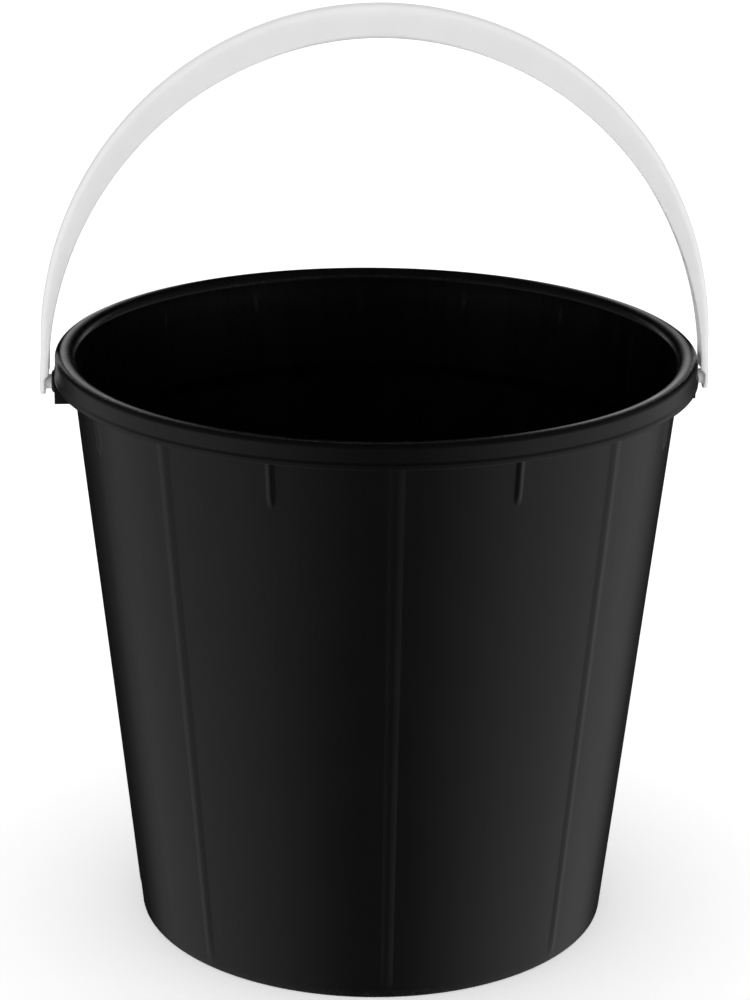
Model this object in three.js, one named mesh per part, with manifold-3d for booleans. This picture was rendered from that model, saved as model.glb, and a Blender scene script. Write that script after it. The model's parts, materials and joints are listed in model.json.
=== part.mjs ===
// Ten-litre plastic florist bucket with a swinging carrying handle.
// Millimetres, +Z up. The origin is the centre of the foot ring, on the surface that the bucket
// stands on. The handle's pivot line runs along X at the height PIVOT_Z, and the front is -Y.
import * as THREE from 'three';
import { mergeVertices } from 'three/addons/utils/BufferGeometryUtils.js';
import Module from 'manifold-3d';

// Bucket shell
const BASE_RADIUS = 105.2;
const WALL_TOP_RADIUS = 131.5;
const WALL_TOP_Z = 248;
const WALL = 2;
const FLOOR_UNDER_Z = 3.6;
const FLOOR_TOP_Z = 6;
const FLOOR_CORNER = 6;
const FOOT_WIDTH = 2.6;
const FOOT_EDGE = 0.75;
const GATE_NUB_RADIUS = 3.5;
const STIFFENING_RING_RADIUS = 62;
const SHELL_SIDES = 64;

// Rolled rim
const RIM_RADIUS = 140;
const RIM_BOTTOM_Z = 250.4;
const RIM_BEAD = 2.1;
const RIM_SKIRT = 2;
const RIM_FACE_RADIUS = 139.5;
const RIM_FACE_TOP_Z = 258.7;
const RIM_CREST_RADIUS = 136.7;
const RIM_TOP_Z = 261.1;
const RIM_INNER_RADIUS = 132.3;
const FLARE_Z = 245;

// Ribs on the wall
const LONG_RIBS = 8;
const LONG_RIB_TOP_WIDTH = 5.6;
const LONG_RIB_FOOT_WIDTH = 4.1;
const LONG_RIB_PROUD = 0.65;
const SHORT_RIB_WIDTH = 3.2;
const SHORT_RIB_LENGTH = 23.7;
const SHORT_RIB_PROUD = 0.8;
const INNER_RIBS = 16;
const INNER_RIB_WIDTH = 2;
const INNER_RIB_TOP_Z = 247;
const INNER_RIB_LENGTH = 36;
const INNER_RIB_PROUD = 0.45;
const RIB_ROOT = 0.8;
const RIB_TOP_Z = 251.2;
const LONG_RIB_FOOT_Z = 1;

// Ears that carry the handle's pins
const PIVOT_Z = 246.7;
const EAR_FACE_X = 139.8;
const EAR_WIDTH = 15;
const EAR_BOTTOM_Z = 238.5;
const EAR_TOP_Z = 252.5;
const EAR_PLATE = 2.2;
const EAR_SIDE = 2;
const EAR_BOSS_RADIUS = 5;
const EAR_BOSS_PROUD = 1.3;
const PIN_HOLE_RADIUS = 3.6;

// Handle
const HANDLE_WIDTH = 11;
const HANDLE_PIVOT_X = 146.2;
const HANDLE_LEG = 14.9;
const HANDLE_HALF_SPAN = 145.5;
const HANDLE_RISE = 149.2;
const HANDLE_WEB = 2.3;
const HANDLE_FLANGE = 1.9;
const HANDLE_CORNER = 2.8;
const HANDLE_LEG_DEPTH = 3.9;
const HANDLE_GRIP_DEPTH = 14.2;
const HANDLE_TAPER = 2.25;
const HANDLE_EDGE_PIECES = 40;
const HANDLE_STEPS = 44;
const HANDLE_CROSS_RIBS = 13;
const HANDLE_CROSS_RIB = 1.6;
const HANDLE_CROSS_RIB_ARC = 150;
const TIP_RADIUS = 5.5;
const TIP_PLATE_TOP = 2.2;
const TIP_LEG_FOOT = 4.2;

// Snap pins, one at each end of the handle
const PIN_RADIUS = 3.2;
const PIN_HEAD_RADIUS = 4.4;
const PIN_NOSE_RADIUS = 3;
const PIN_HEAD_LENGTH = 3.6;
const PIN_HEAD_CLEARANCE = 0.5;
const PIN_SLOT = 1.4;

const FULL_TURN = 2 * Math.PI;
const WALL_SLOPE = (WALL_TOP_RADIUS - BASE_RADIUS) / WALL_TOP_Z;

const wasm = await Module();
wasm.setup();

function toSolid(geometry) {
  const bare = geometry.clone();
  bare.deleteAttribute('normal');
  bare.deleteAttribute('uv');
  const merged = mergeVertices(bare, 1e-4);
  const corners = merged.index.array;
  const triVerts = [];
  for (let i = 0; i < corners.length; i += 3) {
    const [a, b, c] = corners.slice(i, i + 3);
    if (a !== b && b !== c && c !== a) triVerts.push(a, b, c);
  }
  return new wasm.Manifold(new wasm.Mesh({
    numProp: 3,
    vertProperties: new Float32Array(merged.attributes.position.array),
    triVerts: new Uint32Array(triVerts),
  }));
}

function toMesh(solid, name, material) {
  const { vertProperties, triVerts } = solid.getMesh();
  const geometry = new THREE.BufferGeometry();
  geometry.setAttribute('position', new THREE.BufferAttribute(vertProperties, 3));
  geometry.setIndex(new THREE.BufferAttribute(triVerts, 1));
  geometry.computeVertexNormals();
  const mesh = new THREE.Mesh(geometry, material);
  mesh.name = name;
  return mesh;
}

function joinAll(solids) {
  return solids.reduce((whole, solid) => whole.add(solid));
}

function box(low, high) {
  const size = high.map((value, axis) => value - low[axis]);
  const middle = high.map((value, axis) => (value + low[axis]) / 2);
  return toSolid(new THREE.BoxGeometry(...size).translate(...middle));
}

// A cylinder or cone along X, from one X to another.
function rodAlongX(fromX, toX, fromRadius, toRadius, z, sides = 20) {
  const rod = new THREE.CylinderGeometry(toRadius, fromRadius, toX - fromX, sides);
  rod.rotateZ(-Math.PI / 2).translate((fromX + toX) / 2, 0, z);
  return toSolid(rod);
}

function wallRadius(z) {
  return BASE_RADIUS + WALL_SLOPE * z;
}

function point(r, z) {
  return new THREE.Vector2(r, z);
}

function arcPoints(centreR, centreZ, halfR, halfZ, fromDeg, toDeg, pieces) {
  const from = THREE.MathUtils.degToRad(fromDeg);
  const to = THREE.MathUtils.degToRad(toDeg);
  const curve = new THREE.EllipseCurve(centreR, centreZ, halfR, halfZ, from, to, to < from);
  return curve.getPoints(pieces);
}

// The recessed underside, with a gate nub in the middle and a stiffening ring, and the foot ring.
function undersideProfile() {
  const nubZ = FLOOR_UNDER_Z - 0.8;
  const ringZ = FLOOR_UNDER_Z - 0.6;
  return [
    point(0, nubZ),
    point(GATE_NUB_RADIUS, nubZ),
    point(GATE_NUB_RADIUS, FLOOR_UNDER_Z),
    point(STIFFENING_RING_RADIUS - 2, FLOOR_UNDER_Z),
    point(STIFFENING_RING_RADIUS - 1.5, ringZ),
    point(STIFFENING_RING_RADIUS + 1.5, ringZ),
    point(STIFFENING_RING_RADIUS + 2, FLOOR_UNDER_Z),
    point(BASE_RADIUS - FOOT_WIDTH - 0.8, FLOOR_UNDER_Z),
    point(BASE_RADIUS - FOOT_WIDTH, 0),
    point(BASE_RADIUS - FOOT_EDGE, 0),
    point(wallRadius(FOOT_EDGE), FOOT_EDGE),
  ];
}

// Up the wall, through the hollow under the rim, and up the skirt with its bead, over the crest.
function outsideProfile() {
  const faceHalf = RIM_FACE_RADIUS - RIM_CREST_RADIUS;
  const innerHalf = RIM_CREST_RADIUS - RIM_INNER_RADIUS;
  const rise = RIM_TOP_Z - RIM_FACE_TOP_Z;
  return [
    point(WALL_TOP_RADIUS, WALL_TOP_Z),
    point(RIM_RADIUS - 6.2, RIM_FACE_TOP_Z - 2.6),
    point(RIM_RADIUS - 5.2, RIM_FACE_TOP_Z - 0.5),
    point(RIM_RADIUS - 3.2, RIM_FACE_TOP_Z - 0.2),
    point(RIM_RADIUS - 2.5, RIM_FACE_TOP_Z - 2.6),
    point(RIM_RADIUS - RIM_SKIRT, RIM_BOTTOM_Z),
    point(RIM_RADIUS, RIM_BOTTOM_Z),
    point(RIM_RADIUS, RIM_BOTTOM_Z + RIM_BEAD),
    point(RIM_FACE_RADIUS, RIM_BOTTOM_Z + RIM_BEAD + 0.4),
    ...arcPoints(RIM_CREST_RADIUS, RIM_FACE_TOP_Z, faceHalf, rise, 0, 90, 4),
    ...arcPoints(RIM_CREST_RADIUS, RIM_FACE_TOP_Z, innerHalf, rise, 90, 180, 5).slice(1),
  ];
}

// Down the flare under the rim and the wall's inside, with a rounded corner at the floor.
function insideProfile() {
  const innerRadius = (z) => wallRadius(z) - WALL;
  const cornerZ = FLOOR_TOP_Z + FLOOR_CORNER;
  const corner = FLOOR_CORNER;
  return [
    point(innerRadius(FLARE_Z), FLARE_Z),
    ...arcPoints(innerRadius(cornerZ) - corner, cornerZ, corner, corner, 0, -90, 4),
    point(0, FLOOR_TOP_Z),
  ];
}

// One closed profile turned about Z.
function makeShell() {
  const profile = [...undersideProfile(), ...outsideProfile(), ...insideProfile()];
  return toSolid(new THREE.LatheGeometry(profile, SHELL_SIDES).rotateX(Math.PI / 2));
}

// Lays a flat extrusion on the XZ plane: its outline's axes become X and Z, and its depth is
// centred on the XZ plane.
function extrudeAcrossY(outline, width) {
  const solid = new THREE.ExtrudeGeometry(outline, { depth: width, bevelEnabled: false });
  solid.translate(0, 0, -width / 2).rotateX(Math.PI / 2);
  return toSolid(solid);
}

function polygon(corners) {
  return new THREE.Shape(corners.map(([x, y]) => new THREE.Vector2(x, y)));
}

// A bar with its length up the wall's slope. Its outline has the width along X and the length
// along Y; it starts at startZ with its inner face at innerRadius, at the angle given from +X.
function layOnWall(outline, thickness, innerRadius, startZ, angle) {
  const settings = { depth: thickness, curveSegments: 4, bevelEnabled: false };
  const bar = new THREE.ExtrudeGeometry(outline, settings);
  const across = new THREE.Vector3(0, 1, 0);
  const up = new THREE.Vector3(0, 0, 1);
  const outward = new THREE.Vector3(1, 0, 0);
  bar.applyMatrix4(new THREE.Matrix4().makeBasis(across, up, outward));
  bar.rotateY(Math.atan(WALL_SLOPE)).translate(innerRadius, 0, startZ).rotateZ(angle);
  return toSolid(bar);
}

function makeLongRib(angle) {
  const length = (RIB_TOP_Z - LONG_RIB_FOOT_Z) * Math.hypot(1, WALL_SLOPE);
  const foot = LONG_RIB_FOOT_WIDTH / 2;
  const top = LONG_RIB_TOP_WIDTH / 2;
  const outline = polygon([[-foot, 0], [foot, 0], [top, length], [-top, length]]);
  const innerRadius = wallRadius(LONG_RIB_FOOT_Z) - RIB_ROOT;
  return layOnWall(outline, RIB_ROOT + LONG_RIB_PROUD, innerRadius, LONG_RIB_FOOT_Z, angle);
}

// A short rib has a round lower end.
function makeShortRib(angle) {
  const half = SHORT_RIB_WIDTH / 2;
  const startZ = RIB_TOP_Z - SHORT_RIB_LENGTH;
  const outline = new THREE.Shape();
  outline.moveTo(half, half);
  outline.lineTo(half, SHORT_RIB_LENGTH);
  outline.lineTo(-half, SHORT_RIB_LENGTH);
  outline.lineTo(-half, half);
  outline.absarc(0, half, half, Math.PI, FULL_TURN);
  return layOnWall(outline, RIB_ROOT + SHORT_RIB_PROUD, wallRadius(startZ) - RIB_ROOT, startZ, angle);
}

// A stacking rib stands inside, near the top, and keeps nested buckets from jamming.
function makeInnerRib(angle) {
  const half = INNER_RIB_WIDTH / 2;
  const startZ = INNER_RIB_TOP_Z - INNER_RIB_LENGTH;
  const outline = polygon([[-half, 0], [half, 0], [half, INNER_RIB_LENGTH], [-half, INNER_RIB_LENGTH]]);
  const innerRadius = wallRadius(startZ) - WALL - INNER_RIB_PROUD;
  return layOnWall(outline, RIB_ROOT + INNER_RIB_PROUD, innerRadius, startZ, angle);
}

function aroundWall(count, firstAngle, makeRib) {
  return Array.from({ length: count }, (_, i) => makeRib(firstAngle + (FULL_TURN * i) / count));
}

// The ear at +X: a box open at the bottom, whose outer plate has a boss and the pin's hole.
function makeEar() {
  const wallX = wallRadius(EAR_BOTTOM_Z) - RIB_ROOT;
  const topWallX = wallRadius(EAR_TOP_Z);
  const block = extrudeAcrossY(polygon([
    [wallX, EAR_BOTTOM_Z],
    [EAR_FACE_X, EAR_BOTTOM_Z],
    [EAR_FACE_X, EAR_TOP_Z],
    [topWallX, EAR_TOP_Z],
  ]), EAR_WIDTH);
  const pocketHalf = EAR_WIDTH / 2 - EAR_SIDE;
  const pocket = box(
    [BASE_RADIUS, -pocketHalf, EAR_BOTTOM_Z - EAR_WIDTH],
    [EAR_FACE_X - EAR_PLATE, pocketHalf, EAR_TOP_Z + EAR_WIDTH],
  );
  const bossX = EAR_FACE_X + EAR_BOSS_PROUD;
  const boss = rodAlongX(EAR_FACE_X - 1, bossX, EAR_BOSS_RADIUS, EAR_BOSS_RADIUS, PIVOT_Z);
  return block.subtract(pocket).add(boss);
}

function makePinHole() {
  const innerX = EAR_FACE_X - 1.5 * EAR_PLATE;
  return rodAlongX(innerX, EAR_FACE_X + EAR_PLATE, PIN_HOLE_RADIUS, PIN_HOLE_RADIUS, PIVOT_Z);
}

function onBothSides(solid) {
  return solid.add(solid.rotate([0, 0, 180]));
}

function makeBucketBody() {
  const eighth = FULL_TURN / LONG_RIBS;
  return joinAll([
    makeShell(),
    ...aroundWall(LONG_RIBS, 0, makeLongRib),
    ...aroundWall(LONG_RIBS, eighth / 2, makeShortRib),
    ...aroundWall(INNER_RIBS, 0, makeInnerRib),
    onBothSides(makeEar()),
  ]).subtract(onBothSides(makePinHole()));
}

// The handle's outer centre line, from the pivot line at Z = 0 up one leg, over a half ellipse and
// down the other leg.
class HandlePath extends THREE.Curve {
  getPoint(t, target = new THREE.Vector3()) {
    const legShare = HANDLE_LEG / (2 * HANDLE_LEG + Math.PI * HANDLE_RISE);
    const fromEnd = Math.min(t, 1 - t);
    const side = t < 0.5 ? -1 : 1;
    if (fromEnd < legShare) {
      const up = fromEnd / legShare;
      const x = THREE.MathUtils.lerp(HANDLE_PIVOT_X, HANDLE_HALF_SPAN, up);
      return target.set(side * x, 0, up * HANDLE_LEG);
    }
    const angle = Math.PI * ((t - legShare) / (1 - 2 * legShare) - 0.5);
    return archPoint(angle, target);
  }
}

function archPoint(angle, target = new THREE.Vector3()) {
  const z = HANDLE_LEG + HANDLE_RISE * Math.cos(angle);
  return target.set(HANDLE_HALF_SPAN * Math.sin(angle), 0, z);
}

// How deep the handle is below its outer face: deepest in the grip, thin at the legs.
function handleDepth(angle) {
  const towardsLeg = Math.min(1, Math.abs(angle) / (Math.PI / 2));
  const extra = (HANDLE_GRIP_DEPTH - HANDLE_LEG_DEPTH) * (1 - towardsLeg ** HANDLE_TAPER);
  return HANDLE_LEG_DEPTH + extra;
}

// The side view that trims the handle: wide of its outer face, and on its inner edge.
function makeHandleSideView() {
  const outside = HANDLE_RISE + 2 * HANDLE_WIDTH;
  const corners = [[-outside, -TIP_RADIUS], [-outside, HANDLE_LEG + outside]];
  corners.push([outside, HANDLE_LEG + outside], [outside, -TIP_RADIUS]);
  const plateX = HANDLE_PIVOT_X - HANDLE_WEB;
  const legX = HANDLE_HALF_SPAN - HANDLE_LEG_DEPTH;
  const legFoot = [
    [plateX, -TIP_RADIUS],
    [plateX, TIP_PLATE_TOP],
    [HANDLE_PIVOT_X - HANDLE_LEG_DEPTH, TIP_LEG_FOOT],
  ];
  const pieces = HANDLE_EDGE_PIECES;
  const innerEdge = Array.from({ length: pieces + 1 }, (_, i) => {
    const angle = Math.PI * (0.5 - i / pieces);
    const outer = archPoint(angle);
    const normal = new THREE.Vector2(Math.sin(angle), Math.cos(angle));
    const depth = handleDepth(angle);
    return [outer.x - normal.x * depth, outer.z - normal.y * depth];
  });
  innerEdge[0] = [legX, HANDLE_LEG];
  innerEdge[pieces] = [-legX, HANDLE_LEG];
  const mirrored = legFoot.map(([x, z]) => [-x, z]).reverse();
  return extrudeAcrossY(polygon([...corners, ...legFoot, ...innerEdge, ...mirrored]), 2 * HANDLE_WIDTH);
}

function sweepHandle(section) {
  const settings = {
    steps: HANDLE_STEPS,
    extrudePath: new HandlePath(),
    curveSegments: 3,
    bevelEnabled: false,
  };
  return toSolid(new THREE.ExtrudeGeometry(section, settings));
}

// The section's X is across the handle and its Y is inward from the outer face.
function makeHandleBlank() {
  const half = HANDLE_WIDTH / 2;
  const round = HANDLE_CORNER;
  const deep = HANDLE_GRIP_DEPTH + 2;
  const section = new THREE.Shape();
  section.moveTo(half, deep);
  section.lineTo(-half, deep);
  section.lineTo(-half, round);
  section.absarc(-half + round, round, round, Math.PI, 1.5 * Math.PI);
  section.lineTo(half - round, 0);
  section.absarc(half - round, round, round, 1.5 * Math.PI, FULL_TURN);
  section.closePath();
  return sweepHandle(section);
}

// The open channel under the handle, interrupted by cross ribs.
function makeHandlePockets() {
  const half = HANDLE_WIDTH / 2 - HANDLE_FLANGE;
  const deep = HANDLE_GRIP_DEPTH + 4;
  const section = polygon([[half, deep], [-half, deep], [-half, HANDLE_WEB], [half, HANDLE_WEB]]);
  const far = HANDLE_RISE + 2 * HANDLE_LEG;
  const aboveTips = box([-far, -HANDLE_WIDTH, 2 * TIP_RADIUS], [far, HANDLE_WIDTH, far]);
  const crossRibs = Array.from({ length: HANDLE_CROSS_RIBS }, (_, i) => {
    const share = i / (HANDLE_CROSS_RIBS - 1) - 0.5;
    const angle = THREE.MathUtils.degToRad(HANDLE_CROSS_RIB_ARC * share);
    const rib = new THREE.BoxGeometry(HANDLE_CROSS_RIB, HANDLE_WIDTH, 3 * HANDLE_GRIP_DEPTH);
    const place = archPoint(angle);
    rib.rotateY(angle).translate(place.x, 0, place.z);
    return toSolid(rib);
  });
  return sweepHandle(section).intersect(aboveTips).subtract(joinAll(crossRibs));
}

// The tip at +X: a round plate and a pin with a slotted head that snaps through the ear's hole.
function makeSnapPin() {
  const plateX = HANDLE_PIVOT_X - HANDLE_WEB;
  const headX = EAR_FACE_X - EAR_PLATE - PIN_HEAD_CLEARANCE;
  const noseX = headX - PIN_HEAD_LENGTH;
  const plate = rodAlongX(plateX, HANDLE_PIVOT_X, TIP_RADIUS, TIP_RADIUS, 0);
  const pin = rodAlongX(headX - 0.2, plateX + 1, PIN_RADIUS, PIN_RADIUS, 0);
  const head = rodAlongX(noseX, headX, PIN_NOSE_RADIUS, PIN_HEAD_RADIUS, 0);
  const half = PIN_SLOT / 2;
  const slot = box([noseX - 1, -half, -TIP_RADIUS], [headX + 1.2, half, TIP_RADIUS]);
  return plate.add(pin.add(head).subtract(slot));
}

function makeHandle() {
  const bow = makeHandleBlank().intersect(makeHandleSideView()).subtract(makeHandlePockets());
  return bow.add(onBothSides(makeSnapPin()));
}

const blackPlastic = new THREE.MeshStandardMaterial({ color: 0x151515, roughness: 0.38, metalness: 0 });
const whitePlastic = new THREE.MeshStandardMaterial({ color: 0xe6e6e4, roughness: 0.45, metalness: 0 });

const bucket = new THREE.Group();
bucket.add(toMesh(makeBucketBody(), 'bucket_body', blackPlastic));
const handle = toMesh(makeHandle(), 'handle', whitePlastic);
handle.position.set(0, 0, PIVOT_Z);
bucket.add(handle);

export default bucket;
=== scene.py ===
"""Looks of a ten-litre florist bucket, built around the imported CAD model.

The black bucket and its white handle are finely modelled meshes that stand for the two CAD nodes.
Sizes are in millimetres up to the point where a mesh is made; Blender's own units are metres.
"""
import json
import math

import bmesh
import bpy
from mathutils import Matrix, Vector


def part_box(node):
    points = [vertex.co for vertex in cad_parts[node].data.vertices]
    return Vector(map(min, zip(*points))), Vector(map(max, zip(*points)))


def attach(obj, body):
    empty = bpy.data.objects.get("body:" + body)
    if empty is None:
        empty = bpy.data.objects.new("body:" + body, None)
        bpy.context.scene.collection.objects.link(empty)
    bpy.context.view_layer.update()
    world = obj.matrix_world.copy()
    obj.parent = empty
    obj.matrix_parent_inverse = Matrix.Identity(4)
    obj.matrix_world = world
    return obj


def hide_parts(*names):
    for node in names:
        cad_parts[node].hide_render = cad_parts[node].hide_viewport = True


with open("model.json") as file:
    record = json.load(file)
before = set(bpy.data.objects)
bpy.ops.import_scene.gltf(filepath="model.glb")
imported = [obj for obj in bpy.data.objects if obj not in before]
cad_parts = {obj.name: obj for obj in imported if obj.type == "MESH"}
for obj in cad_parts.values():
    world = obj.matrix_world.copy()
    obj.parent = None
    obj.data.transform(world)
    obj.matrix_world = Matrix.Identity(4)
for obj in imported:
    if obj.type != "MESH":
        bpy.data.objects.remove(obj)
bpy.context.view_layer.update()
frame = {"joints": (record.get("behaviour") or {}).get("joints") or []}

MM = 0.001

# ---------------------------------------------------------------- sizes taken from the CAD model
BODY_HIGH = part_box("bucket_body")[1]
HANDLE_LOW, HANDLE_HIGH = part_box("handle")
BOSS_PROUD = 1.3
RIM_R = BODY_HIGH.y / MM
BUCKET_TOP = BODY_HIGH.z / MM
EAR_X = BODY_HIGH.x / MM - BOSS_PROUD
PIVOT_Z = frame["joints"][0]["pos_m"][2] / MM
TIP_X = HANDLE_HIGH.x / MM
TIP_R = PIVOT_Z - HANDLE_LOW.z / MM
HANDLE_W = 2 * HANDLE_HIGH.y / MM
HANDLE_TOP = HANDLE_HIGH.z / MM - PIVOT_Z

# ------------------------------------------------------------------------------- bucket, in mm
BASE_R = RIM_R - 34.8
WALL_TOP_R = RIM_R - 8.5
WALL_TOP_Z = BUCKET_TOP - 13.1
WALL = 2.0
SLOPE = (WALL_TOP_R - BASE_R) / WALL_TOP_Z
FLOOR_UNDER = 3.6
FLOOR_TOP = 6.0
FLOOR_CORNER = 6
FOOT_WIDTH = 2.6
GATE_RECESS = 0.8
GATE_R = (3.2, 3.6)
RING_RISE = 0.6
RING_R = (60.0, 60.6, 63.4, 64.0)
RIM_FOOT_Z = BUCKET_TOP - 10.7
SHOULDER_Z = BUCKET_TOP - 4.0
FACE_TOP_Z = BUCKET_TOP - 2.4
CREST_R = RIM_R - 3.3
CREST_INNER_R = RIM_R - 9.4
FACE_R = RIM_R - 0.5
BEAD = 2.1

RIB_STEP = math.radians(22.5)
LONG_RIB_HALF = (2.6, 3.4)
LONG_RIB_PROUD = 0.5
SHORT_RIB_HALF = 2.1
SHORT_RIB_PROUD = 0.8
SHORT_RIB_FOOT = WALL_TOP_Z - 20.5
INNER_RIB_HALF = 1.0
INNER_RIB_PROUD = 0.3
INNER_RIB_FOOT = WALL_TOP_Z - 35
RIB_EDGE = 0.8
RIB_MARGIN = 0.2
RIB_COLUMN = 0.26
COLUMNS_BETWEEN = 10

EAR_HALF = 7.5
EAR_SIDE = 2.0
EAR_PLATE = 2.2
EAR_BOTTOM = WALL_TOP_Z - 9.5
EAR_TOP = RIM_FOOT_Z + BEAD
EAR_BEVEL = 0.35
BOSS_SECTION = ((-1, 5), (0.1, 5), (0.6, 4.85), (1.0, 4.5), (BOSS_PROUD, 3.9))
PIN_HOLE_R = 3.6
PIN_HOLE_REACH = 3.0

# Which relief a row of the wall's section carries
PLAIN, OUTER, INNER = range(3)

# ------------------------------------------------------------------------------- handle, in mm
LEG = 14.9
HALF_SPAN = TIP_X - 0.7
RISE = HANDLE_TOP - LEG
WEB = 2.3
FLANGE = 1.9
LEG_DEPTH = 3.9
GRIP_DEPTH = 14.2
TAPER = 2.25
CORNER = 3.0
GRIP_HALF = 58.0
LEG_STEPS = 22
ARCH_STEPS = 150
CROSS_RIBS = 13
CROSS_RIB_ARC = math.radians(150)
CROSS_RIB_HALF = 0.8

PIN_R = 3.2
PIN_HEAD_R = 4.4
PIN_HEAD_LENGTH = 3.6
PIN_HEAD_PLAY = 0.5
PIN_SLOT_HALF = 0.7

# ------------------------------------------- camera, in metres and radians, with its lens in mm
VIEW_AZIMUTH = math.radians(3.8)
VIEW_PITCH = math.radians(18.886)
VIEW_ROLL = 0.01024
VIEW_DISTANCE = 1.26326
VIEW_HEIGHT = 0.62265
LENS = 108.5
SENSOR = 36

# ------------------------------------------------------------------------- light, in metres
FLOOR_SIZE = 12
FLOOR_GLOW = 0.27
TENT_RADIUS = 1.5
TENT_HEIGHT = 0.25
# (degrees from the front, light)
TENT_STOPS = (
    (0, 0.08), (12, 0.09), (22, 0.15), (34, 0.23), (45, 0.31), (56, 0.37), (67, 0.43),
    (108, 0.44), (119, 0.38), (129, 0.23), (138, 0.06), (150, 0.01), (180, 0.01),
)
# (height as a share of the tent's radius, share of the light)
RISE_STOPS = (
    (0, 1.0), (0.10, 0.80), (0.20, 0.56), (0.36, 0.32), (0.52, 0.20), (0.71, 0.12), (0.84, 0.08),
    (1, 0.03),
)
TENT_SIDES = (0.88, 1.12)
OVERHEAD_RISE = (0.35, 0.85)
OVERHEAD_LIGHT = 0.032
CARD_Y = 0.45
CARD_MIDDLE = 0.015
CARD_INNER = (0.088, 0.15)
CARD_OUTER = (0.16, 0.21)
CARD_FOOT = (0.15, 0.24)
CARD_HEAD = (0.33, 0.60)
CARD_LIGHT = 1.4


# ==================================================================== mesh helpers
def mesh_object(name, bm):
    bmesh.ops.recalc_face_normals(bm, faces=bm.faces)
    mesh = bpy.data.meshes.new(name)
    bm.to_mesh(mesh)
    bm.free()
    obj = bpy.data.objects.new(name, mesh)
    bpy.context.scene.collection.objects.link(obj)
    return obj


def combine(target, other, operation):
    """Joins other to target, or cuts it out, with an exact boolean, and removes other."""
    modifier = target.modifiers.new(operation, "BOOLEAN")
    modifier.operation = operation
    modifier.solver = "EXACT"
    modifier.object = other
    apply_modifiers(target)
    bpy.data.objects.remove(other)
    return target


def apply_modifiers(obj):
    bpy.context.view_layer.update()
    evaluated = obj.evaluated_get(bpy.context.evaluated_depsgraph_get())
    mesh = bpy.data.meshes.new_from_object(evaluated)
    obj.modifiers.clear()
    obj.data = mesh
    return obj


def bevelled(obj, width, segments=3, angle=35):
    modifier = obj.modifiers.new("bevel", "BEVEL")
    modifier.width = width * MM
    modifier.segments = segments
    modifier.limit_method = "ANGLE"
    modifier.angle_limit = math.radians(angle)
    return apply_modifiers(obj)


def shade(obj, angle=32):
    obj.data.shade_smooth()
    obj.data.set_sharp_from_angle(angle=math.radians(angle))
    return obj


def smooth_step(value):
    value = min(max(value, 0.0), 1.0)
    return value * value * (3 - 2 * value)


def line(start, end, step):
    """Points from start up to, but not including, end."""
    length = math.dist(start, end)
    count = max(1, round(length / step))
    return [tuple(a + (b - a) * i / count for a, b in zip(start, end)) for i in range(count)]


def ellipse(centre, half, from_deg, to_deg, count):
    points = []
    for i in range(count + 1):
        a = math.radians(from_deg + (to_deg - from_deg) * i / count)
        points.append((centre[0] + half[0] * math.cos(a), centre[1] + half[1] * math.sin(a)))
    return points


def rounded(corners, step):
    """A polyline through (x, y, radius) corners, each rounded to its radius, in steps."""
    points = [corners[0][:2]]
    for before, corner, after in zip(corners, corners[1:], corners[2:]):
        at = Vector(corner[:2])
        back = (Vector(before[:2]) - at).normalized()
        on = (Vector(after[:2]) - at).normalized()
        half = 0.5 * math.acos(max(-1, min(1, back.dot(on))))
        reach = corner[2] / math.tan(half)
        start, end = at + back * reach, at + on * reach
        if reach < 1e-6:
            arc = [tuple(at)]
        else:
            middle = at + (back + on).normalized() * (corner[2] / math.sin(half))
            pieces = max(2, round((math.pi - 2 * half) * corner[2] / step) + 2)
            a, b = start - middle, end - middle
            turn = a.angle_signed(b)
            arc = []
            for i in range(pieces + 1):
                spin = Matrix.Rotation(-turn * i / pieces, 2)
                arc.append(tuple(middle + spin @ a))
        points += line(points.pop(), arc[0], 12 * step) + arc
    points += line(points.pop(), corners[-1][:2], 12 * step) + [corners[-1][:2]]
    return points


def prism(name, outline, low, high, place):
    """A straight solid over an outline of (u, v) points. place turns (u, v, w) into a point."""
    bm = bmesh.new()
    bottom = [bm.verts.new(Vector(place(u, v, low)) * MM) for u, v in outline]
    top = [bm.verts.new(Vector(place(u, v, high)) * MM) for u, v in outline]
    bm.faces.new(bottom)
    bm.faces.new(top)
    for i in range(len(outline)):
        j = (i + 1) % len(outline)
        bm.faces.new((bottom[i], bottom[j], top[j], top[i]))
    return mesh_object(name, bm)


def ring_stack(name, rings, closed_ends=True):
    """A skin over rings of equally many points; a ring of one point closes an end."""
    bm = bmesh.new()
    rows = [[bm.verts.new(Vector(p) * MM) for p in ring] for ring in rings]
    for first, second in zip(rows, rows[1:]):
        count = max(len(first), len(second))
        for i in range(count):
            j = (i + 1) % count
            if len(first) == 1:
                bm.faces.new((first[0], second[j], second[i]))
            elif len(second) == 1:
                bm.faces.new((first[i], first[j], second[0]))
            else:
                bm.faces.new((first[i], first[j], second[j], second[i]))
    if closed_ends:
        for row in (rows[0], rows[-1]):
            if len(row) > 1:
                bm.faces.new(row)
    return mesh_object(name, bm)


def turned_about_x(name, outline, z, sides=48):
    """A solid of revolution about a line along X. The outline is (x, radius) points."""
    rings = []
    for x, radius in outline:
        if radius < 1e-6:
            rings.append([(x, 0, z)])
            continue
        angles = [2 * math.pi * i / sides for i in range(sides)]
        rings.append([(x, radius * math.cos(a), z + radius * math.sin(a)) for a in angles])
    return ring_stack(name, rings)


# ==================================================================== bucket
def wall_radius(z):
    return BASE_R + SLOPE * z


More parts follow.
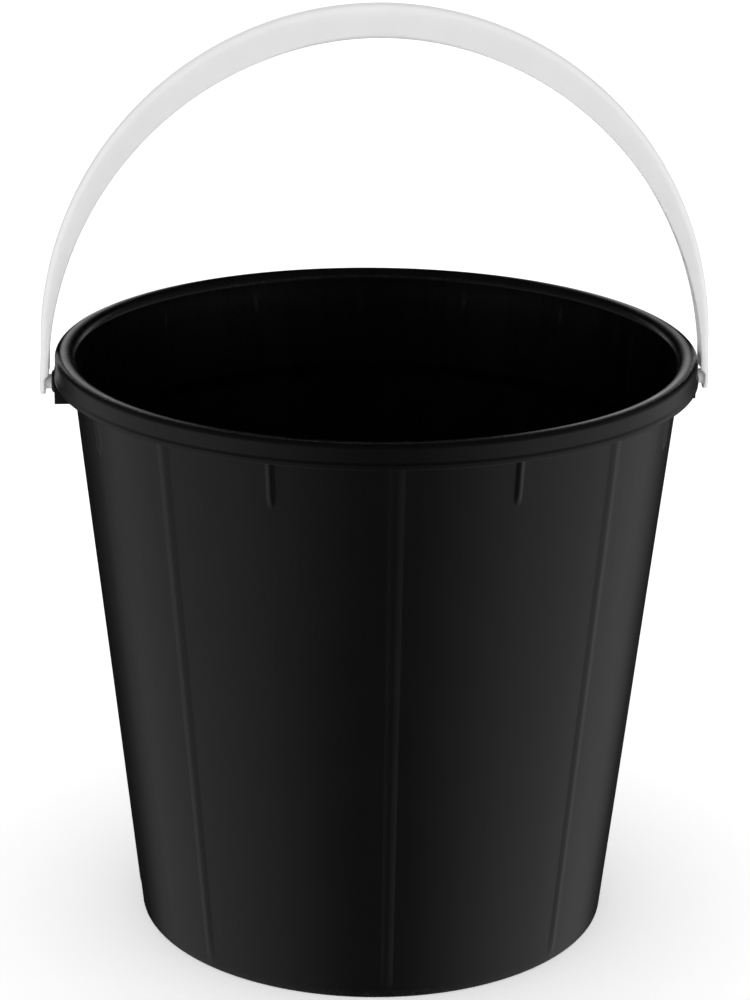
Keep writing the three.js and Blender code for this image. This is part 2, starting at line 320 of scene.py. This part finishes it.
def shell_outline():
    """The wall's section, from the middle of the underside, up outside and down inside.

    Rows are (radius, height, relief). Corners are (radius, height, rounding).
    """
    under = rounded([
        (0, FLOOR_UNDER - GATE_RECESS, 0),
        (GATE_R[0], FLOOR_UNDER - GATE_RECESS, 0.3),
        (GATE_R[1], FLOOR_UNDER, 0.3),
        (RING_R[0], FLOOR_UNDER, 0.5),
        (RING_R[1], FLOOR_UNDER - RING_RISE, 0.4),
        (RING_R[2], FLOOR_UNDER - RING_RISE, 0.4),
        (RING_R[3], FLOOR_UNDER, 0.5),
        (BASE_R - FOOT_WIDTH - 0.7, FLOOR_UNDER, 1.2),
        (BASE_R - FOOT_WIDTH, 0, 0.5),
        (BASE_R, 0, 0.9),
        (wall_radius(8), 8, 0),
    ], 0.25)
    outside = rounded([
        (wall_radius(SHORT_RIB_FOOT + 6), SHORT_RIB_FOOT + 6, 0),
        (WALL_TOP_R, WALL_TOP_Z, 4),
        (RIM_R - 7.2, SHOULDER_Z - 0.6, 1.5),
        (RIM_R - 5.8, SHOULDER_Z + 1.4, 0.8),
        (RIM_R - 3.0, SHOULDER_Z + 1.5, 0.7),
        (RIM_R - 2.0, RIM_FOOT_Z, 0.35),
        (RIM_R, RIM_FOOT_Z, 0.5),
        (RIM_R, RIM_FOOT_Z + BEAD - 0.3, 0.7),
        (FACE_R, RIM_FOOT_Z + BEAD + 0.9, 0.7),
        (FACE_R, FACE_TOP_Z, 0),
    ], 0.22)
    outer_half = (FACE_R - CREST_R, BUCKET_TOP - FACE_TOP_Z)
    inner_half = (CREST_R - CREST_INNER_R, BUCKET_TOP - SHOULDER_Z)
    crest = ellipse((CREST_R, FACE_TOP_Z), outer_half, 0, 90, 16)[1:]
    crest += ellipse((CREST_R, SHOULDER_Z), inner_half, 90, 180, 30)[1:]
    inside = rounded([
        crest[-1] + (0,),
        (wall_radius(WALL_TOP_Z) - WALL, WALL_TOP_Z, 6),
        (wall_radius(INNER_RIB_FOOT - 6) - WALL, INNER_RIB_FOOT - 6, 0),
    ], 0.35)
    lower = rounded([
        (wall_radius(INNER_RIB_FOOT - 6) - WALL, INNER_RIB_FOOT - 6, 0),
        (wall_radius(FLOOR_TOP) - WALL, FLOOR_TOP, FLOOR_CORNER),
        (0, FLOOR_TOP, 0),
    ], 1.0)
    rows = [(r, z, PLAIN) for r, z in under[:-1]]
    rows += [(wall_radius(z), z, OUTER) for z in range(8, int(SHORT_RIB_FOOT) - 4, 9)]
    fine = line((SHORT_RIB_FOOT - 3,), (SHORT_RIB_FOOT + 5.5,), 0.5)
    rows += [(wall_radius(z), z, OUTER) for z, in fine]
    for r, z in outside:
        ribbed = z < SHOULDER_Z - 2 and r < RIM_R - 5
        rows.append((r, z, OUTER if ribbed else PLAIN))
    rows += [(r, z, PLAIN) for r, z in crest]
    rows += [(r, z, INNER) for r, z in inside[1:-1]]
    fine = line((INNER_RIB_FOOT + 4,), (INNER_RIB_FOOT - 5,), 0.8)
    rows += [(wall_radius(z) - WALL, z, INNER) for z, in fine]
    rows += [(r, z, PLAIN) for r, z in lower[1:]]
    return rows


def ridge(half, across):
    """The share of a stacking rib's height at a distance across it, with soft edges."""
    return smooth_step((half - across) / RIB_EDGE + 0.5)


def crowned(half, across):
    """The share of a long rib's height: it falls away almost evenly from the middle."""
    return 1 - min(1.0, across / half) ** 1.4


def bell(half, across):
    """A short rib's section: round on top, running out into the wall."""
    return math.cos(0.5 * math.pi * min(1.0, across / half)) ** 1.6


def outer_relief(angle, r, z):
    """How far the ribs stand proud of the outer wall, and the moulding's slight unevenness."""
    nearest = round(angle / RIB_STEP)
    across = abs(angle - nearest * RIB_STEP) * r
    if nearest % 2 == 0:
        half = LONG_RIB_HALF[0] + (LONG_RIB_HALF[1] - LONG_RIB_HALF[0]) * z / WALL_TOP_Z
        foot = smooth_step((z - 0.9) / 1.2)
        height = LONG_RIB_PROUD * crowned(half, across) * foot
    else:
        below = SHORT_RIB_FOOT + 3 * SHORT_RIB_HALF - z
        if below > 0:
            across = math.hypot(across, below / 3)
        height = SHORT_RIB_PROUD * bell(SHORT_RIB_HALF, across)
    uneven = 0.035 * math.sin(3 * angle + 0.021 * z) + 0.03 * math.sin(8 * angle + 0.035 * z + 1)
    middle = smooth_step(z / 30) * smooth_step((WALL_TOP_Z - z) / 30)
    return height + uneven * middle


def inner_relief(angle, r, z):
    """The stacking ribs stand inside the wall, so they take away from the inner radius."""
    across = abs(angle - round(angle / RIB_STEP) * RIB_STEP) * r
    foot = smooth_step((z - INNER_RIB_FOOT) / 3)
    head = smooth_step((WALL_TOP_Z + 2 - z) / 4)
    return -INNER_RIB_PROUD * ridge(INNER_RIB_HALF, across) * foot * head


def column_angles():
    """Columns are close together across every rib and wide apart between the ribs."""
    angles = []
    for rib in range(16):
        half = SHORT_RIB_HALF if rib % 2 else LONG_RIB_HALF[1]
        fine = round(half / RIB_COLUMN)
        reach = (half + RIB_MARGIN) / WALL_TOP_R
        centre = rib * RIB_STEP
        angles += [centre + reach * i / fine for i in range(-fine, fine + 1)]
        after = (LONG_RIB_HALF[1] if rib % 2 else SHORT_RIB_HALF) + RIB_MARGIN
        gap = RIB_STEP - reach - after / WALL_TOP_R
        between = range(1, COLUMNS_BETWEEN)
        angles += [centre + reach + gap * i / COLUMNS_BETWEEN for i in between]
    return angles


def make_shell():
    reliefs = {PLAIN: lambda *_: 0.0, OUTER: outer_relief, INNER: inner_relief}
    angles = column_angles()
    rings = []
    for r, z, side in shell_outline():
        if r < 1e-6:
            rings.append([(0, 0, z)])
            continue
        ring = []
        for angle in angles:
            radius = r + reliefs[side](angle, r, z)
            ring.append((radius * math.cos(angle), radius * math.sin(angle), z))
        rings.append(ring)
    return ring_stack("bucket_moulding", rings, closed_ends=False)


def make_ear():
    """The ear at +X: a box open at the bottom, with a boss and a hole for the handle's pin."""
    def flat(u, v, w):
        return (u, w, v)

    side_view = [
        (wall_radius(EAR_BOTTOM) - 0.8, EAR_BOTTOM),
        (EAR_X, EAR_BOTTOM),
        (EAR_X, EAR_TOP),
        (wall_radius(EAR_TOP) - 0.1, EAR_TOP),
    ]
    ear = prism("ear", side_view, -EAR_HALF, EAR_HALF, flat)
    low, high, plate = EAR_BOTTOM - 20, EAR_TOP + 20, EAR_X - EAR_PLATE
    deep = [(BASE_R, low), (plate, low), (plate, high), (BASE_R, high)]
    pocket = prism("pocket", deep, EAR_SIDE - EAR_HALF, EAR_HALF - EAR_SIDE, flat)
    combine(ear, pocket, "DIFFERENCE")
    boss = [(EAR_X + x, radius) for x, radius in BOSS_SECTION]
    boss = [(boss[0][0], 0)] + boss + [(boss[-1][0], 0)]
    combine(ear, turned_about_x("boss", boss, PIVOT_Z), "UNION")
    near, far = EAR_X - PIN_HOLE_REACH, EAR_X + PIN_HOLE_REACH
    hole = [(near, 0), (near, PIN_HOLE_R), (far, PIN_HOLE_R), (far, 0)]
    combine(ear, turned_about_x("hole", hole, PIVOT_Z), "DIFFERENCE")
    return bevelled(ear, EAR_BEVEL, 2)


def turned_copy(obj):
    copy = obj.copy()
    copy.data = obj.data.copy()
    bpy.context.scene.collection.objects.link(copy)
    copy.data.transform(Matrix.Rotation(math.pi, 4, "Z"))
    return copy


def make_bucket():
    shell = make_shell()
    ear = make_ear()
    combine(shell, turned_copy(ear), "UNION")
    combine(shell, ear, "UNION")
    return shade(shell)


# ==================================================================== handle
def grip_share(along):
    """1 in the middle of the grip, falling to 0 at its ends."""
    return max(0.0, 1 - (along / GRIP_HALF) ** 2)


def handle_depth(angle):
    towards_leg = min(1.0, abs(angle) / (math.pi / 2))
    return LEG_DEPTH + (GRIP_DEPTH - LEG_DEPTH) * (1 - towards_leg ** TAPER)


def handle_section(width, depth, floor, flange, corner, lip):
    """Half of the U-shaped section, as (across, inward from the outer face) points."""
    half = width / 2
    corner = min(corner, 0.9 * half)
    crown = 0.25 * half / 5.5
    points = [(0, 0), (0.5 * (half - corner), 0.25 * crown), (half - corner, crown)]
    arc_depth = min(corner, depth - lip) - crown
    arc_centre = (half - corner, crown + arc_depth)
    points += ellipse(arc_centre, (corner, arc_depth), -90, 0, 7)[1:]
    inner = half - flange
    blunt = min(0.5, 0.45 * flange)
    blunt_depth = min(blunt, lip)
    points += [(half, 0.5 * (points[-1][1] + depth - lip))]
    points += ellipse((half - lip, depth - lip), (lip, lip), 0, 90, 5)
    points += ellipse((inner + blunt, depth - blunt_depth), (blunt, blunt_depth), 90, 180, 3)
    fillet = min(0.8, 0.8 * max(0.02, depth - floor))
    points += [(inner, 0.5 * (points[-1][1] + floor + fillet))]
    points += ellipse((inner - fillet, floor + fillet), (fillet, -fillet), 0, 90, 3)
    points += [(0.5 * (inner - fillet), floor), (0, floor)]
    return points


def handle_stations():
    """(kind, side, height or angle) of every ring, from the tip at -X to the tip at +X."""
    heights = [LEG * (1 - i / LEG_STEPS) for i in range(1, LEG_STEPS + 1)]
    heights += [-TIP_R * math.sin(math.radians(a)) for a in range(6, 90, 6)]
    heights.append(-TIP_R * 0.9995)
    stations = [("leg", -1, height) for height in reversed(heights)]
    stations += [("arch", 0, angle) for angle in arch_angles()]
    stations += [("leg", 1, height) for height in heights]
    return stations


def pocket_share(along):
    """0 on a cross rib and 1 between two ribs, for a distance along the arch."""
    pitch = CROSS_RIB_ARC * RISE / (CROSS_RIBS - 1)
    if abs(along) > 0.5 * CROSS_RIB_ARC * RISE + CROSS_RIB_HALF:
        return 1.0
    off = abs(along - pitch * round(along / pitch))
    return smooth_step((off - CROSS_RIB_HALF + 0.25) / 0.5)


def arch_angles():
    """Angles from one end of the half ellipse to the other, close together at cross ribs."""
    pitch = CROSS_RIB_ARC / (CROSS_RIBS - 1)
    angles = [math.pi * (i / ARCH_STEPS - 0.5) for i in range(ARCH_STEPS + 1)]
    for rib in range(CROSS_RIBS):
        centre = (rib - (CROSS_RIBS - 1) / 2) * pitch
        for off in (0.5, 0.65, 0.8, 0.95, 1.1):
            angles += [centre - off / RISE, centre + off / RISE]
    angles.sort()
    kept = [angles[0]]
    for a in angles[1:]:
        if a - kept[-1] > 0.05 / RISE:
            kept.append(a)
    return kept


def handle_ring(kind, side, value):
    """One ring of the handle's skin: the section placed at a station.

    The pocket is filled up at the cross ribs and near the tips, where its share is 0.
    """
    share = 1.0
    along = RISE * math.pi / 2
    width = HANDLE_W
    if kind == "arch":
        x, z = HALF_SPAN * math.sin(value), LEG + RISE * math.cos(value)
        inward = Vector((-math.sin(value), 0, -math.cos(value)))
        depth = handle_depth(value)
        along = RISE * value
        share = pocket_share(along)
    else:
        up = max(0.0, value) / LEG
        x = side * (TIP_X + (HALF_SPAN - TIP_X) * up)
        z = value
        inward = Vector((-side, 0, 0))
        depth = WEB + (LEG_DEPTH - WEB) * smooth_step((value - 2.2) / 2.2)
        share = smooth_step((value - 9) / 2)
        if value < 0:
            width = 2 * math.sqrt(max(0.0, TIP_R ** 2 - value ** 2))
    grip = grip_share(along)
    flange = FLANGE + 1.0 * grip
    recess = min(0.7, 0.35 * (depth - WEB))
    filled = depth - max(0.02, recess)
    floor = filled + (WEB - filled) * share
    edge = 0.5 + 1.7 * grip
    scale = min(1.0, width / (2 * (flange + 1.4)))
    half_section = handle_section(
        width, depth, floor, flange * scale, CORNER, min(edge, 0.45 * depth, 0.4 * width)
    )
    mirrored = [(-u, v) for u, v in reversed(half_section[1:-1])]
    ring = []
    for u, v in half_section + mirrored:
        ring.append((x + inward.x * v, u, PIVOT_Z + z + inward.z * v))
    return ring


def make_pin():
    """The pin at +X: a collar, a shaft and a slotted head that has snapped through the ear."""
    plate = TIP_X - WEB
    head = EAR_X - EAR_PLATE - PIN_HEAD_PLAY
    nose = head - PIN_HEAD_LENGTH
    outline = rounded([
        (nose, 0, 0),
        (nose, 3.0, 0.6),
        (head - 0.8, PIN_HEAD_R, 0.5),
        (head, PIN_HEAD_R - 0.1, 0.3),
        (head + 0.3, PIN_R, 0.1),
        (plate, PIN_R, 0.5),
        (plate + 0.9, 4.6, 0.1),
        (plate + 1.2, 4.0, 0.1),
        (plate + 1.2, 0, 0),
    ], 0.2)
    pin = turned_about_x("pin", outline, PIVOT_Z)
    start, end, half = nose - 1, head + 1.2, PIN_SLOT_HALF
    slot = [(start, -half), (end, -half), (end, half), (start, half)]
    cutter = prism("slot", slot, PIVOT_Z - 6, PIVOT_Z + 6, lambda u, v, w: (u, v, w))
    return combine(pin, cutter, "DIFFERENCE")


def make_handle():
    rings = [handle_ring(*station) for station in handle_stations()]
    bow = ring_stack("handle_moulding", rings)
    pin = make_pin()
    combine(bow, turned_copy(pin), "UNION")
    combine(bow, pin, "UNION")
    return shade(bow, 38)


# ==================================================================== materials
class Nodes:
    """A short way to write a material's nodes."""

    def __init__(self, name):
        self.material = bpy.data.materials.new(name)
        self.material.use_nodes = True
        self.tree = self.material.node_tree
        self.tree.nodes.clear()
        self.output = self.tree.nodes.new("ShaderNodeOutputMaterial")
        coordinates = self.tree.nodes.new("ShaderNodeTexCoord")
        self.object = coordinates.outputs["Object"]

    def add(self, kind, inputs=(), **settings):
        node = self.tree.nodes.new(kind)
        for key, value in settings.items():
            setattr(node, key, value)
        for key, value in dict(inputs).items():
            if isinstance(value, bpy.types.NodeSocket):
                self.tree.links.new(value, node.inputs[key])
            else:
                node.inputs[key].default_value = value
        return node

    def math(self, operation, a, b=0.0, clamp=False):
        node = self.add("ShaderNodeMath", {0: a, 1: b}, operation=operation, use_clamp=clamp)
        return node.outputs[0]

    def noise(self, scale, detail=3.0, roughness=0.5, stretch=None):
        vector = self.object
        if stretch:
            vector = self.add("ShaderNodeMapping", {0: vector, "Scale": stretch}).outputs[0]
        inputs = {"Vector": vector, "Scale": scale, "Detail": detail, "Roughness": roughness}
        return self.add("ShaderNodeTexNoise", inputs).outputs[0]

    def remap(self, value, from_low, from_high, to_low, to_high):
        inputs = {0: value, 1: from_low, 2: from_high, 3: to_low, 4: to_high}
        return self.add("ShaderNodeMapRange", inputs, clamp=True).outputs[0]

    def mix(self, share, first, second):
        node = self.add("ShaderNodeMix", data_type="RGBA")
        for key, value in ((0, share), (6, first), (7, second)):
            if isinstance(value, bpy.types.NodeSocket):
                self.tree.links.new(value, node.inputs[key])
            else:
                node.inputs[key].default_value = value
        return node.outputs[2]

    def bump(self, height, strength, distance, normal=None):
        inputs = {"Height": height, "Strength": strength, "Distance": distance * MM}
        if normal:
            inputs["Normal"] = normal
        return self.add("ShaderNodeBump", inputs).outputs[0]

    def finish(self, **inputs):
        named = {key.replace("_", " "): value for key, value in inputs.items()}
        shader = self.add("ShaderNodeBsdfPrincipled", named)
        self.tree.links.new(shader.outputs[0], self.output.inputs[0])
        return self.material


def grey(value, blue=0.0):
    return (value, value, value + blue, 1.0)


def black_plastic():
    """Satin black, with flow marks down the wall, a fine grain, and a scuffed foot."""
    n = Nodes("black_polypropylene")
    cloud = n.noise(35, 4)
    colour = n.mix(n.remap(cloud, 0.35, 0.7, 0, 1), grey(0.0006), grey(0.0011))
    height = n.add("ShaderNodeSeparateXYZ", {0: n.object}).outputs[2]
    foot = n.remap(height, 0.0, 0.004, 1, 0)
    scuffs = n.remap(n.noise(900, 5, 0.7), 0.52, 0.66, 0, 1)
    worn = n.math("MULTIPLY", foot, scuffs)
    colour = n.mix(worn, colour, grey(0.03))
    drag = n.noise(60, 3, 0.6, stretch=(1, 1, 0.04))
    grain = n.noise(3200, 2, 0.6)
    peel = n.noise(420, 2, 0.5)
    smooth = n.remap(drag, 0.3, 0.7, 0.24, 0.31)
    roughness = n.math("ADD", smooth, n.remap(grain, 0.3, 0.7, -0.02, 0.03))
    roughness = n.math("ADD", roughness, n.math("MULTIPLY", worn, 0.25), clamp=True)
    normal = n.bump(peel, 0.25, 0.02)
    normal = n.bump(drag, 0.35, 0.05, normal)
    normal = n.bump(grain, 0.25, 0.01, normal)
    return n.finish(Base_Color=colour, Roughness=roughness, Normal=normal, IOR=1.49)


def white_plastic():
    """Satin white that lets a little light through, with flow marks along the bow."""
    n = Nodes("white_polypropylene")
    cloud = n.noise(60, 3)
    colour = n.mix(n.remap(cloud, 0.35, 0.7, 0, 1), grey(0.80), grey(0.78))
    flow = n.noise(45, 3, 0.6, stretch=(0.25, 1, 1))
    grain = n.noise(3000, 2, 0.6)
    roughness = n.remap(flow, 0.3, 0.7, 0.36, 0.46)
    normal = n.bump(flow, 0.3, 0.05)
    normal = n.bump(grain, 0.25, 0.012, normal)
    return n.finish(
        Base_Color=colour,
        Roughness=roughness,
        Normal=normal,
        IOR=1.49,
        Specular_IOR_Level=0.35,
        Subsurface_Weight=0.5,
        Subsurface_Radius=(1.0, 1.0, 1.0),
        Subsurface_Scale=0.004,
    )


def floor_paper():
    """A pale floor, lifted by a glow of its own so that its shadows stay soft."""
    n = Nodes("pale_floor")
    cloud = n.noise(3, 2)
    paper = n.add("ShaderNodeBsdfDiffuse", {"Color": n.mix(cloud, grey(0.91), grey(0.93))})
    lit = n.add("ShaderNodeEmission", {"Strength": FLOOR_GLOW})
    both = n.add("ShaderNodeAddShader", {0: paper.outputs[0], 1: lit.outputs[0]})
    n.tree.links.new(both.outputs[0], n.output.inputs[0])
    return n.material


# ==================================================================== studio
def make_camera():
    """The view is from the front, a little to the left, and down into the bucket."""
    azimuth, pitch = VIEW_AZIMUTH, VIEW_PITCH
    ahead = Vector((math.sin(azimuth), math.cos(azimuth), 0))
    right = Vector((math.cos(azimuth), -math.sin(azimuth), 0))
    up = ahead * math.sin(pitch) + Vector((0, 0, math.cos(pitch)))
    forward = ahead * math.cos(pitch) - Vector((0, 0, math.sin(pitch)))
    rolled_right = right * math.cos(VIEW_ROLL) + up * math.sin(VIEW_ROLL)
    rolled_up = up * math.cos(VIEW_ROLL) - right * math.sin(VIEW_ROLL)
    camera = bpy.data.objects.new("camera", bpy.data.cameras.new("camera"))
    camera.data.sensor_width = SENSOR
    camera.data.lens = LENS
    axes = Matrix((rolled_right, rolled_up, -forward)).transposed().to_4x4()
    position = -ahead * VIEW_DISTANCE + Vector((0, 0, VIEW_HEIGHT))
    camera.matrix_world = Matrix.Translation(position) @ axes
    bpy.context.scene.collection.objects.link(camera)
    bpy.context.scene.camera = camera


def make_floor():
    bm = bmesh.new()
    bmesh.ops.create_grid(bm, x_segments=8, y_segments=8, size=FLOOR_SIZE)
    floor = mesh_object("floor", bm)
    floor.data.materials.append(floor_paper())
    floor.visible_glossy = False


def fill_ramp(ramp, stops):
    """Sets a colour ramp, which starts with one stop at each end, to (place, light) stops."""
    elements = ramp.color_ramp.elements
    elements[0].color, elements[1].color = grey(stops[0][1]), grey(stops[-1][1])
    for place, light in stops[1:-1]:
        elements.new(place).color = grey(light)
    return ramp.outputs[0]


def glowing(n, strength):
    """Finishes a material as plain emission, which isn't sampled as a lamp."""
    glow = n.add("ShaderNodeEmission", {"Strength": strength})
    n.tree.links.new(glow.outputs[0], n.output.inputs[0])
    n.material.cycles.emission_sampling = "NONE"
    return n.material


def tent_glow():
    """The tent's light: bright at both sides, dim in front, dark behind, dimmer higher up."""
    n = Nodes("light_tent")
    x, y, z = n.add("ShaderNodeSeparateXYZ", {0: n.object}).outputs
    side = n.math("ABSOLUTE", x)
    turn = n.math("DIVIDE", n.math("ARCTAN2", side, n.math("MULTIPLY", y, -1.0)), math.pi)
    around = fill_ramp(
        n.add("ShaderNodeValToRGB", {0: turn}),
        [(degrees / 180, light) for degrees, light in TENT_STOPS],
    )
    rise = n.add("ShaderNodeValToRGB", {0: n.math("DIVIDE", z, TENT_RADIUS)})
    light = n.math("MULTIPLY", around, fill_ramp(rise, RISE_STOPS))
    light = n.math("MULTIPLY", light, n.remap(x, -1.0, 1.0, *TENT_SIDES))
    overhead = n.remap(z, *OVERHEAD_RISE, 0, OVERHEAD_LIGHT)
    return glowing(n, n.math("ADD", light, overhead))


def card_glow():
    """Two bright cards behind the bucket, with a gap between them and soft edges."""
    n = Nodes("cards")
    x, _, z = n.add("ShaderNodeSeparateXYZ", {0: n.object}).outputs
    side = n.math("ABSOLUTE", n.math("SUBTRACT", x, CARD_MIDDLE))
    inner, outer = n.remap(side, *CARD_INNER, 0, 1), n.remap(side, *CARD_OUTER, 1, 0)
    across = n.math("MULTIPLY", inner, outer)
    up = n.math("MULTIPLY", n.remap(z, *CARD_FOOT, 0, 1), n.remap(z, *CARD_HEAD, 1, 0))
    return glowing(n, n.math("MULTIPLY", n.math("MULTIPLY", across, up), CARD_LIGHT))


def only_reflected(obj):
    obj.visible_camera = False
    obj.visible_diffuse = False
    obj.visible_shadow = False
    obj.visible_transmission = False


def make_cards():
    bm = bmesh.new()
    left, right = CARD_MIDDLE - CARD_OUTER[1], CARD_MIDDLE + CARD_OUTER[1]
    low, high = CARD_FOOT[0], CARD_HEAD[1]
    corners = ((left, low), (right, low), (right, high), (left, high))
    bm.faces.new([bm.verts.new((x, CARD_Y, z)) for x, z in corners])
    cards = mesh_object("cards", bm)
    cards.data.materials.append(card_glow())
    only_reflected(cards)


def make_tent():
    """A light tent that only reflections see."""
    bm = bmesh.new()
    bmesh.ops.create_uvsphere(bm, u_segments=48, v_segments=24, radius=TENT_RADIUS)
    tent = mesh_object("light_tent", bm)
    tent.location.z = TENT_HEIGHT
    tent.data.materials.append(tent_glow())
    only_reflected(tent)


def make_world():
    world = bpy.data.worlds.new("studio")
    world.use_nodes = True
    world.node_tree.nodes["Background"].inputs["Color"].default_value = grey(1.0)
    bpy.context.scene.world = world
    bpy.context.scene.view_settings.view_transform = "Standard"


def dress(obj, material):
    obj.data.materials.clear()
    obj.data.materials.append(material)
    return obj


# ==================================================================== the scene
make_camera()
make_world()
make_floor()
make_tent()
make_cards()

bucket = dress(make_bucket(), black_plastic())
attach(bucket, "bucket")
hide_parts("bucket_body")

handle = dress(make_handle(), white_plastic())
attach(handle, "handle")
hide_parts("handle")
